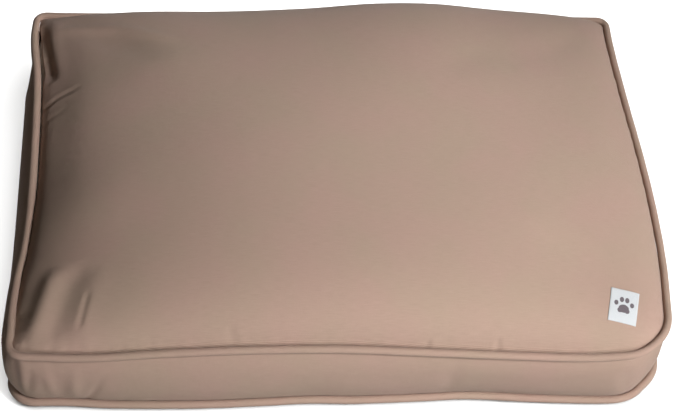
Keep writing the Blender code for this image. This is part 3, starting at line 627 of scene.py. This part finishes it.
# The band: one long strip of the canvas round the left side, the front and the right side, and
# two narrow strips across the back with the zip sewn between them. It is eased round the corners,
# where it stands in soft upright folds.
band_map = flat_map.copy()
band_map[EDGE] = np.column_stack([around, np.full(AROUND, BAND_CUT)])
band_map[BOTTOM_START + EDGE] = np.column_stack([around, np.full(AROUND, -BAND_CUT)])
middle_row = len(BAND_LEVELS) // 2 - 1
MOUTH_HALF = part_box("zip_garage_right")[1][0] - 0.002
next_x = np.roll(top_loop[:, 0], -1)
is_back = top_loop[:, 1] > HALF_DEPTH * 0.8
behind = set(np.flatnonzero(is_back & (np.abs(top_loop[:, 0] + next_x) / 2 < ZIP_HALF)))
mouth = {n for n in behind if max(abs(top_loop[n, 0]), abs(next_x[n])) < MOUTH_HALF}
# Where each fold in the front stands, its lean, width, depth and middle height.
BAND_FOLDS = (
    (-0.430, 0.10, 0.007, 0.0035, 0.06), (-0.402, -0.15, 0.007, -0.0022, 0.06),
    (-0.369, 0.05, 0.009, -0.0030, 0.055), (-0.345, 0.35, 0.005, 0.0030, 0.035),
    (0.150, 0.10, 0.012, 0.0015, 0.06), (0.395, -0.10, 0.012, 0.0025, 0.06),
)


def band_creases(where):
    """Soft upright folds where the band is eased round the corners and over the fibre."""
    move = puckers(where, TOP_SPOTS, 0.012) + puckers(where, BOTTOM_SPOTS, 0.013)
    front = where[:, 1] < -HALF_DEPTH * 0.9
    for x, lean, width, depth, middle in BAND_FOLDS:
        gap = where[:, 0] - x - lean * (where[:, 2] - middle)
        tall = np.exp(-(((where[:, 2] - middle) / 0.030) ** 2))
        move -= depth * tall * front * np.exp(-((gap / width) ** 2))
    return move


def strip_of(part):
    """Which strip of the band a face is in. The long one also closes the slot past the garages."""
    if part[0] != "band":
        return None
    if part[2] not in behind or part[1] == middle_row and part[2] not in mouth:
        return "wrap_band"
    return {-1: "upper_zip_strip", 1: "lower_zip_strip"}.get(np.sign(part[1] - middle_row))


wrap_band, upper_strip, lower_strip = (
    sewn_piece(
        name, cover_points, part_faces(lambda part: strip_of(part) == name), band_map,
        cover_canvas, creases=band_creases if name == "wrap_band" else None,
    )
    for name in ("wrap_band", "upper_zip_strip", "lower_zip_strip")
)
for piece, node in (
    (wrap_band, "cover_wrap_band"),
    (upper_strip, "zip_strip_upper"),
    (lower_strip, "zip_strip_lower"),
):
    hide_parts(node)
    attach(piece, "cushion")

# The insert: a thin cotton liner in two halves, stuffed with loose polyester fibre. It fills the
# cover from inside and is seen only when the zip is open.
LINER_IN, FIBRE_IN = 0.0065, 0.0090  # how far inside the cover each lies
COTTON = 0.0005  # the liner's thickness


def shell_normals(points, faces):
    """The outward direction at each point of the closed cover."""
    faces = np.array(faces)
    corners = points[faces]
    facing = np.cross(corners[:, 2] - corners[:, 0], corners[:, 3] - corners[:, 1])
    total = np.zeros_like(points)
    for k in range(4):
        np.add.at(total, faces[:, k], facing)
    return total / np.linalg.norm(total, axis=1)[:, None]


def dyed(name, colour, roughness, scale, stretch=(1, 1, 1), metal=0.0, depth=0.0001, tone=0.75,
         detail=4, strength=0.5, sheen=0.0):
    """A finish with a fine uneven grain that follows the piece."""
    values = {"Roughness": roughness, "Metallic": metal, "Sheen Weight": sheen}
    material, tree, shader = bare_finish(name, values)
    place = grow(tree, "TexCoord", {}).outputs["Object"]
    place = grow(tree, "Mapping", {"Vector": place, "Scale": stretch}).outputs["Vector"]
    inputs = {"Vector": place, "Scale": scale, "Detail": detail}
    grain = grow(tree, "TexNoise", inputs).outputs["Fac"]
    shades = grow(tree, "ValToRGB", {"Fac": grain})
    deep, pale = shades.color_ramp.elements
    deep.position, pale.position = 0.3, 0.7
    deep.color, pale.color = tuple(c * tone for c in colour) + (1,), colour + (1,)
    tree.links.new(shades.outputs["Color"], shader.inputs["Base Color"])
    tree.links.new(raised(tree, grain, strength, depth), shader.inputs["Normal"])
    return material


def in_upper_half(part):
    return part == "top" or part[0] == "band" and part[1] <= middle_row


def in_lower_half(part):
    return not in_upper_half(part)


soft = {"roughness": 0.95, "depth": 0.0006, "detail": 6, "strength": 0.4, "sheen": 0.2}
liner_cotton = dyed("liner_cotton", (0.78, 0.75, 0.69), scale=900, tone=0.9, **soft)
loose_fibre = dyed("loose_fibre", (0.86, 0.86, 0.85), scale=240, tone=0.8, **soft)
shell_out = shell_normals(cover_points, COVER_FACES)
slack = np.minimum(top_creases(cover_points), 0)
slack[TOP_COUNT:] = 0
inside = cover_points + shell_out * slack[:, None]
for name, node, depth, wanted, material, slot, thickness in (
    ("upper_liner", "liner_upper", LINER_IN, in_upper_half, liner_cotton, "liner_cotton", COTTON),
    ("lower_liner", "liner_lower", LINER_IN, in_lower_half, liner_cotton, "liner_cotton", COTTON),
    ("fibre", "fibre_fill", FIBRE_IN, lambda part: True, loose_fibre, "polyester_fibre", 0),
):
    inner = sewn_piece(
        name, inside - shell_out * depth, part_faces(wanted), flat_map, material, thickness, 0
    )
    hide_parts(node)
    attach(inner, "cushion")

# The piping: a cotton cord in a sleeve of the same canvas, cut on the bias, which ripples a
# little where it turns and where its ends are joined. It is sewn into both seams.
SLEEVE_THICKNESS = 0.0009
CORD_RADIUS = PIPE_RADIUS - 0.0015
PIPING_STEP = 0.004  # between the rings of a sleeve or cord
piping_canvas = canvas("piping_canvas", shade=1.02)


def tube(name, line, radius, material, sides=16, ripple=None):
    """A closed tube round a closed line of points, with a map along and round it."""
    ahead = np.roll(line, -1, 0) - np.roll(line, 1, 0)
    ahead /= np.linalg.norm(ahead, axis=1)[:, None]
    level = np.cross(ahead, (0, 0, 1.0))
    level /= np.linalg.norm(level, axis=1)[:, None]
    upright = np.cross(level, ahead)
    length = lengths_along(line)
    points, places = [], []
    for k in range(sides):
        angle = 2 * math.pi * k / sides
        reach = radius if ripple is None else radius + ripple(length, angle)
        reach = np.broadcast_to(reach, len(line))[:, None]
        points.append(line + (level * math.cos(angle) + upright * math.sin(angle)) * reach)
        places.append(np.column_stack([length, np.full(len(line), radius * angle)]))
    count = len(line)
    faces = []
    for k in range(sides):
        j = (k + 1) % sides
        for n in range(count):
            m = (n + 1) % count
            faces.append((k * count + n, k * count + m, j * count + m, j * count + n))
    return new_piece(name, np.concatenate(points), faces, material, np.concatenate(places))


def bias_ripple(length, angle):
    """Fine slanting drag lines in the sleeve."""
    slant = length * 1000 / 9 + angle * 1.2
    wander = np.sin(length * 31) + 0.6 * np.sin(length * 83 + 1.7)
    return 0.00012 * np.sin(slant) * (0.5 + 0.5 * np.tanh(wander))


for name, wander, radii, seam_z in (
    ("top", TOP_SEAM_WANDER, TOP_CORNERS, TOP_SEAM_Z),
    ("bottom", BOTTOM_SEAM_WANDER, BOTTOM_CORNERS, BOTTOM_SEAM_Z),
):
    cord_line, _ = even_spots(seam_line(wander, radii, seam_z, 0.0)[1], PIPING_STEP)
    sleeve = tube(f"{name}_piping", cord_line, PIPE_RADIUS, piping_canvas, ripple=bias_ripple)
    thicken(sleeve, SLEEVE_THICKNESS)
    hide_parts(f"{name}_piping_sleeve")
    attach(sleeve, "cushion")
    cord = tube(f"{name}_cord", cord_line, CORD_RADIUS, piping_canvas, sides=8)
    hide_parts(f"{name}_piping_cord")
    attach(cord, "cushion")

# The zip: a nylon coil zip across the back, sewn between the two narrow strips so that the whole
# insert can come out. Each coil is a row of curled nylon loops stitched to its woven tape.
LOOP_PITCH = 0.0018
LOOP_WIDTH, LOOP_DEPTH = 0.00045, 0.00085
LOOP_RINGS = ((0.0031, 0.75), (0.0026, 1.0), (0.0007, 1.0), (-0.0001, 1.25), (-0.0007, 0.8))
tape_weave = dyed("tape_weave", (0.36, 0.255, 0.19), 0.85, 900, stretch=(0.35, 1, 1.6), tone=0.6)
coil_nylon = dyed("coil_nylon", (0.33, 0.235, 0.175), 0.38, 400, depth=0.00003)


def dress(node, material):
    """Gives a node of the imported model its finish."""
    solid = bpy.data.objects[node]
    if not solid.material_slots:
        solid.data.materials.append(material)
    for place in solid.material_slots:
        place.material = material


def rods(name, rods_of_rings, material):
    """Short closed rods in one piece, each given as rings of points from end to end."""
    made = bmesh.new()
    for rings in rods_of_rings:
        rings = [[made.verts.new(point) for point in ring] for ring in rings]
        for first, second in zip(rings, rings[1:]):
            for k in range(len(first)):
                j = (k + 1) % len(first)
                made.faces.new((first[k], first[j], second[j], second[k]))
        made.faces.new(rings[0][::-1])
        made.faces.new(rings[-1])
    bmesh.ops.recalc_face_normals(made, faces=made.faces)
    mesh = bpy.data.meshes.new(name)
    made.to_mesh(mesh)
    made.free()
    return placed(name, mesh, material)


for node in ("zip_tape_upper", "zip_tape_lower"):
    dress(node, tape_weave)
coil_low, coil_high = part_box("zip_coil_upper")
coil_y = (coil_low[1] + coil_high[1]) / 2
loop_count = int((coil_high[0] - coil_low[0] - LOOP_PITCH) / LOOP_PITCH)
for name, node, side in (("upper_coil", "zip_coil_upper", 1), ("lower_coil", "zip_coil_lower", -1)):
    loops = []
    for n in range(loop_count):
        x = coil_low[0] + LOOP_PITCH * (n + 0.5 + (0.5 if side < 0 else 0))
        loops.append([
            [
                (
                    x + math.cos(math.pi * (k + 0.5) / 4) * LOOP_WIDTH * swell,
                    coil_y + math.sin(math.pi * (k + 0.5) / 4) * LOOP_DEPTH * swell,
                    MIDDLE_Z + side * reach,
                )
                for k in range(8)
            ]
            for reach, swell in LOOP_RINGS
        ])
    coil = rods(name, loops, coil_nylon)
    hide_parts(node)
    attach(coil, "cushion")

# The slider and its pull: a die-cast slider, the wire ring that swings on its bridge and the flat
# tab that tilts on the ring, all three plated and a little brushed.
plated_metal = dyed(
    "plated_metal", (0.56, 0.53, 0.48), 0.32, 500, stretch=(1, 1, 0.15), metal=1.0, depth=0.00004
)
for node in ("zip_slider", "zip_pull_ring", "zip_pull_tab"):
    dress(node, plated_metal)

# The zip garages: a small patch of the canvas over each end of the zip, turned under and sewn
# down all round with a run of stitches, so that the slider parks against a soft end.
PATCH_THICKNESS = 0.0010
STITCH, STITCH_GAP, THREAD = 0.0026, 0.0009, 0.00028  # length, gap between two, radius
OVER = 0.1  # how far outside the back of the bed the spots of a patch start
INWARD = (0, -1, 0)
patch_canvas = canvas("patch_canvas", shade=0.98, thread=0.018)
garage_thread = dyed("garage_thread", (0.43, 0.31, 0.235), 0.6, 1500, depth=0.00002)


def outside_surface(pieces, patch=()):
    """The finished outer surface of some pieces and one more face, for laying others on."""
    points, faces = [], []
    for piece in pieces:
        shape = finished(piece).to_mesh()
        before = len(points)
        points += [vertex.co.copy() for vertex in shape.vertices]
        faces += [tuple(before + k for k in polygon.vertices) for polygon in shape.polygons]
    if patch:
        faces.append(tuple(len(points) + k for k in range(len(patch))))
        points += [Vector(point) for point in patch]
    return BVHTree.FromPolygons(points, faces)


def spot_grid(place, columns, rows):
    """A grid of spots over a piece, from a function of its two shares."""
    return [
        [place(i / columns, j / rows) for j in range(rows + 1)] for i in range(columns + 1)
    ]


def laid_cloth(name, surface, spots, towards, lift, thickness, material, bow):
    """A small piece of cloth laid on a surface, from a grid of spots above it."""
    towards = Vector(towards)
    rows, columns = len(spots), len(spots[0])
    points, places = [], []
    for i, row in enumerate(spots):
        for j, spot in enumerate(row):
            hit, facing, _, _ = surface.ray_cast(Vector(spot), towards)
            if hit is None:
                raise ValueError(f"{name}: nothing lies under {spot}")
            u, v = i / (rows - 1), j / (columns - 1)
            rise = lift + bow * (1 - (2 * u - 1) ** 2) * (1 - (2 * v - 1) ** 2)
            points.append(hit + facing * (rise + thickness))
            places.append((u, v))
    faces = [
        (i * columns + j, (i + 1) * columns + j, (i + 1) * columns + j + 1, i * columns + j + 1)
        for i in range(rows - 1) for j in range(columns - 1)
    ]
    a, b, _, c = (points[k] for k in faces[len(faces) // 2])
    if (b - a).cross(c - a).dot(towards) > 0:
        faces = [face[::-1] for face in faces]
    piece = new_piece(name, points, faces, material, places)
    thicken(piece, thickness)
    edge = piece.modifiers.new("edge", "BEVEL")
    edge.width, edge.segments = thickness * 0.3, 2
    return piece


def stitch_run(name, surface, line, towards, material):
    """Stitches along a line of spots: short threads that dip into the cloth at each end."""
    towards = Vector(towards)
    line = np.array(line)
    along = lengths_along(line)
    stitches, begin = [], 0.0
    while begin + STITCH <= along[-1]:
        want = [begin + STITCH * k / 4 for k in range(5)]
        spots = [Vector(spot) for spot in spread_along(line, along, want)]
        side = (spots[-1] - spots[0]).normalized().cross(towards).normalized()
        rings = []
        for k, spot in enumerate(spots):
            hit, facing, _, _ = surface.ray_cast(spot, towards)
            arch = math.sin(math.pi * k / 4)
            centre = hit + facing * THREAD * (0.8 * arch - 0.3)
            fat = THREAD * (0.55 + 0.45 * arch)
            rings.append([
                centre + (side * math.cos(turn) + facing * math.sin(turn)) * fat
                for turn in (math.pi * (j + 0.5) / 3 for j in range(6))
            ])
        stitches.append(rings)
        begin += STITCH + STITCH_GAP
    return rods(name, stitches, material)


def loop_spots(place, half_width, half_length, corner=0.001):
    """A rounded rectangle of spots in a piece's own plane."""
    spots = []
    for sx, sy, first in ((1, -1, -90), (1, 1, 0), (-1, 1, 90), (-1, -1, 180)):
        for k in range(5):
            angle = math.radians(first + 90 * k / 4)
            spots.append(place(
                sx * (half_width - corner) + corner * math.cos(angle),
                sy * (half_length - corner) + corner * math.sin(angle),
            ))
    return spots + spots[:1]


# The slot between the strips is bridged, so that a patch lies flat over the zip's end.
bridge = [
    (x, ZIP_Y - 0.0008, MIDDLE_Z + z)
    for x, z in (
        (-HALF_LENGTH, -0.012), (-HALF_LENGTH, 0.012), (HALF_LENGTH, 0.012), (HALF_LENGTH, -0.012)
    )
]
back_surface = outside_surface((upper_strip, lower_strip, wrap_band), bridge)
for name, node in (("left_garage", "zip_garage_left"), ("right_garage", "zip_garage_right")):
    low, high = np.array(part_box(node))
    size, middle = high - low, (low + high) / 2
    patch = laid_cloth(
        name, back_surface,
        spot_grid(lambda u, v: (low[0] + size[0] * u, ZIP_Y + OVER, low[2] + size[2] * v), 16, 22),
        INWARD, 0.0003, PATCH_THICKNESS, patch_canvas, 0.0004,
    )
    line = loop_spots(
        lambda a, b: (middle[0] + a, ZIP_Y + OVER, middle[2] + b),
        size[0] / 2 - 0.002, size[2] / 2 - 0.002,
    )
    sewing = stitch_run(
        f"{name}_sewing", outside_surface([patch]), line, INWARD, garage_thread
    )
    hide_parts(node)
    for piece in (patch, sewing):
        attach(piece, "cushion")

# The care label: a folded satin ribbon, caught in the piping seam at the back and hanging free
# against the upper zip strip.
RIBBON_THICKNESS = 0.0005
satin = dyed(
    "satin_ribbon", (0.80, 0.80, 0.78), 0.45, 700, stretch=(4, 1, 0.3), depth=0.00003, tone=0.93
)
low, high = np.array(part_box("care_label"))
ribbon_size = high - low
care_label = laid_cloth(
    "care_label_ribbon", back_surface,
    spot_grid(
        lambda u, v: (low[0] + ribbon_size[0] * u, ZIP_Y + OVER, high[2] - ribbon_size[2] * v),
        10, 18,
    ),
    INWARD, 0.0008, RIBBON_THICKNESS, satin, 0.0006,
)
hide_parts("care_label")
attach(care_label, "cushion")

# The sewn label: a woven cotton rectangle near the front right corner, turned a little, with a
# plain paw mark woven into it in a grey thread and a line of stitches all round.
LABEL_WIDTH, LABEL_LENGTH = 0.040, 0.055
LABEL_SHOWN = LABEL_LENGTH * 0.88  # its ends are turned under
LABEL_TURN, LABEL_LEAN = math.radians(-8), math.radians(-12)
LABEL_SHIFT = (0.005, -0.017)  # from the middle of the solid
LABEL_HEM = 0.0022  # from the edge in to the stitches
DOWN = (0, 0, -1)
PALE_RIB, DEEP_RIB = (0.63, 0.65, 0.67, 1), (0.52, 0.54, 0.56, 1)
MARK_GREY = (0.13, 0.105, 0.12, 1)
# The pads of the paw: middle across and along, half width and half length, as shares.
PAW = (
    (0.50, 0.40, 0.190, 0.125), (0.37, 0.34, 0.090, 0.075), (0.63, 0.34, 0.090, 0.075),
    (0.22, 0.545, 0.075, 0.080), (0.405, 0.670, 0.078, 0.088),
    (0.595, 0.670, 0.078, 0.088), (0.78, 0.545, 0.075, 0.080),
)


def label_cloth():
    """Ribbed cotton with the mark woven in."""
    material, tree, shader = bare_finish("woven_label", {"Roughness": 0.8, "Sheen Weight": 0.1})
    cut_map = grow(tree, "UVMap", {}, uv_map="cut").outputs["UV"]
    parts = grow(tree, "SeparateXYZ", {"Vector": cut_map})

    def sums(kind, first, second):
        return grow(tree, "Math", {0: first, 1: second}, operation=kind).outputs[0]

    frayed = grow(tree, "TexNoise", {"Vector": cut_map, "Scale": 60}).outputs["Fac"]
    wobble = sums("MULTIPLY", sums("SUBTRACT", frayed, 0.5), 0.5)
    mark = None
    for x, y, wide, tall in PAW:
        across = sums("DIVIDE", sums("SUBTRACT", parts.outputs["X"], x), wide)
        along = sums("DIVIDE", sums("SUBTRACT", parts.outputs["Y"], y), tall)
        far = sums("ADD", sums("MULTIPLY", across, across), sums("MULTIPLY", along, along))
        near = sums("SUBTRACT", 1.0, sums("ADD", far, wobble))
        mark = near if mark is None else sums("MAXIMUM", mark, near)
    inputs = {"Vector": cut_map, "Scale": 42, "Distortion": 0.5}
    ribs = grow(tree, "TexWave", inputs, bands_direction="Y").outputs["Fac"]
    ground = mixed(tree, ribs, DEEP_RIB, PALE_RIB)
    woven = mixed(tree, ranged(tree, mark, 0.0, 0.12), ground, MARK_GREY)
    tree.links.new(woven, shader.inputs["Base Color"])
    tree.links.new(raised(tree, ribs, 0.5, 0.0002), shader.inputs["Normal"])
    return material


low, high = np.array(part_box("sewn_label"))
label_middle = (low + high)[:2] / 2 + LABEL_SHIFT


def on_label(a, b):
    """A spot above the label, from its own width and length."""
    return (
        label_middle[0] + a * math.cos(LABEL_TURN) - b * math.sin(LABEL_LEAN),
        label_middle[1] + a * math.sin(LABEL_TURN) + b * math.cos(LABEL_LEAN),
        0.4,
    )


label = laid_cloth(
    "label", outside_surface([top_panel]),
    spot_grid(lambda u, v: on_label(LABEL_WIDTH * (u - 0.5), LABEL_SHOWN * (v - 0.5)), 16, 22),
    DOWN, 0.0004, RIBBON_THICKNESS, label_cloth(), 0.0005,
)
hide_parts("sewn_label")
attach(label, "cushion")
label_thread = dyed("label_thread", (0.70, 0.70, 0.68), 0.6, 1500, depth=0.00002)
line = loop_spots(on_label, LABEL_WIDTH / 2 - LABEL_HEM, LABEL_SHOWN / 2 - LABEL_HEM)
sewing = stitch_run("label_sewing", outside_surface([label]), line, DOWN, label_thread)
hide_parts("label_stitching")
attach(sewing, "cushion")

# The floor and the light: a plain white floor, one soft light high on the right that fades
# towards the left, and two weak fills low down, in front and behind.
FLOOR_SIZE = 16
KEY_SPREAD = math.radians(22.5)
AMBIENT, AMBIENT_STRENGTH = (1.0, 0.90, 0.76, 1), 0.06
bpy.ops.mesh.primitive_plane_add(size=FLOOR_SIZE, location=(0, 0, 0))
floor = bpy.context.object
floor.name = "floor"
floor_paint, _, _ = bare_finish("floor_paint", {"Base Color": (0.9, 0.9, 0.9, 1), "Roughness": 0.9})
floor.data.materials.append(floor_paint)
floor.visible_diffuse = False
world = bpy.data.worlds.new("studio")
bpy.context.scene.world = world
world.use_nodes = True
world.node_tree.nodes["Background"].inputs["Color"].default_value = AMBIENT
world.node_tree.nodes["Background"].inputs["Strength"].default_value = AMBIENT_STRENGTH


def lamp(name, kind, place, target, size, power):
    """A soft light of this size, turned to its target."""
    light = bpy.data.lights.new(name, kind)
    light.energy = power
    if kind == "AREA":
        light.size = size
    else:
        light.shadow_soft_size = size / 2
        light.spot_size, light.spot_blend = KEY_SPREAD, 1.0
    stand = bpy.data.objects.new(name, light)
    bpy.context.collection.objects.link(stand)
    stand.location = place
    stand.rotation_euler = (Vector(target) - Vector(place)).to_track_quat("-Z", "Y").to_euler()
    return stand


lamp("key_light", "SPOT", (2.32, -1.87, 2.64), (0.10, -0.01, 0.1), 1.2, 1250)
lamp("front_fill", "AREA", (0.8, -3.4, 0.6), (0.1, 0, 0.08), 1.2, 48)
lamp("back_fill", "AREA", (1.5, 3.0, 0.5), (0.1, 0, 0.08), 0.8, 20)

# A wide soft light overhead that whitens the floor only, so the shadows on it stay pale.
floor_only = bpy.data.collections.new("floor_only")
floor_only.objects.link(floor)
floor_light = lamp("floor_light", "AREA", (0, 0, 4.5), (0, 0, 0), 6, 420)
floor_light.light_linking.receiver_collection = floor_only
bpy.context.scene.view_settings.view_transform = "Standard"

# The camera looks down on the bed from in front, a little from its left, and leans slightly. It
# stands well back with a long lens, so the bed narrows only a little towards its back.
CAMERA_TURN, CAMERA_HEIGHT = math.radians(-6.73), math.radians(47.6)
CAMERA_LEAN = math.radians(5.33)
CAMERA_TARGET, CAMERA_DISTANCE, LENS = (0.004, -0.069, 0.114), 2.862, 104.5
back = Vector((
    math.sin(CAMERA_TURN) * math.cos(CAMERA_HEIGHT),
    -math.cos(CAMERA_TURN) * math.cos(CAMERA_HEIGHT),
    math.sin(CAMERA_HEIGHT),
))
right = (-back).cross(Vector((0, 0, 1))).normalized()
up = right.cross(-back)
across = math.cos(CAMERA_LEAN) * right + math.sin(CAMERA_LEAN) * up
upright = math.cos(CAMERA_LEAN) * up - math.sin(CAMERA_LEAN) * right
lens = bpy.data.cameras.new("camera")
lens.lens = LENS
camera = bpy.data.objects.new("camera", lens)
bpy.context.collection.objects.link(camera)
place = Vector(CAMERA_TARGET) + back * CAMERA_DISTANCE
turned = Matrix((across, upright, back)).transposed().to_4x4()
camera.matrix_world = Matrix.Translation(place) @ turned
bpy.context.scene.camera = camera
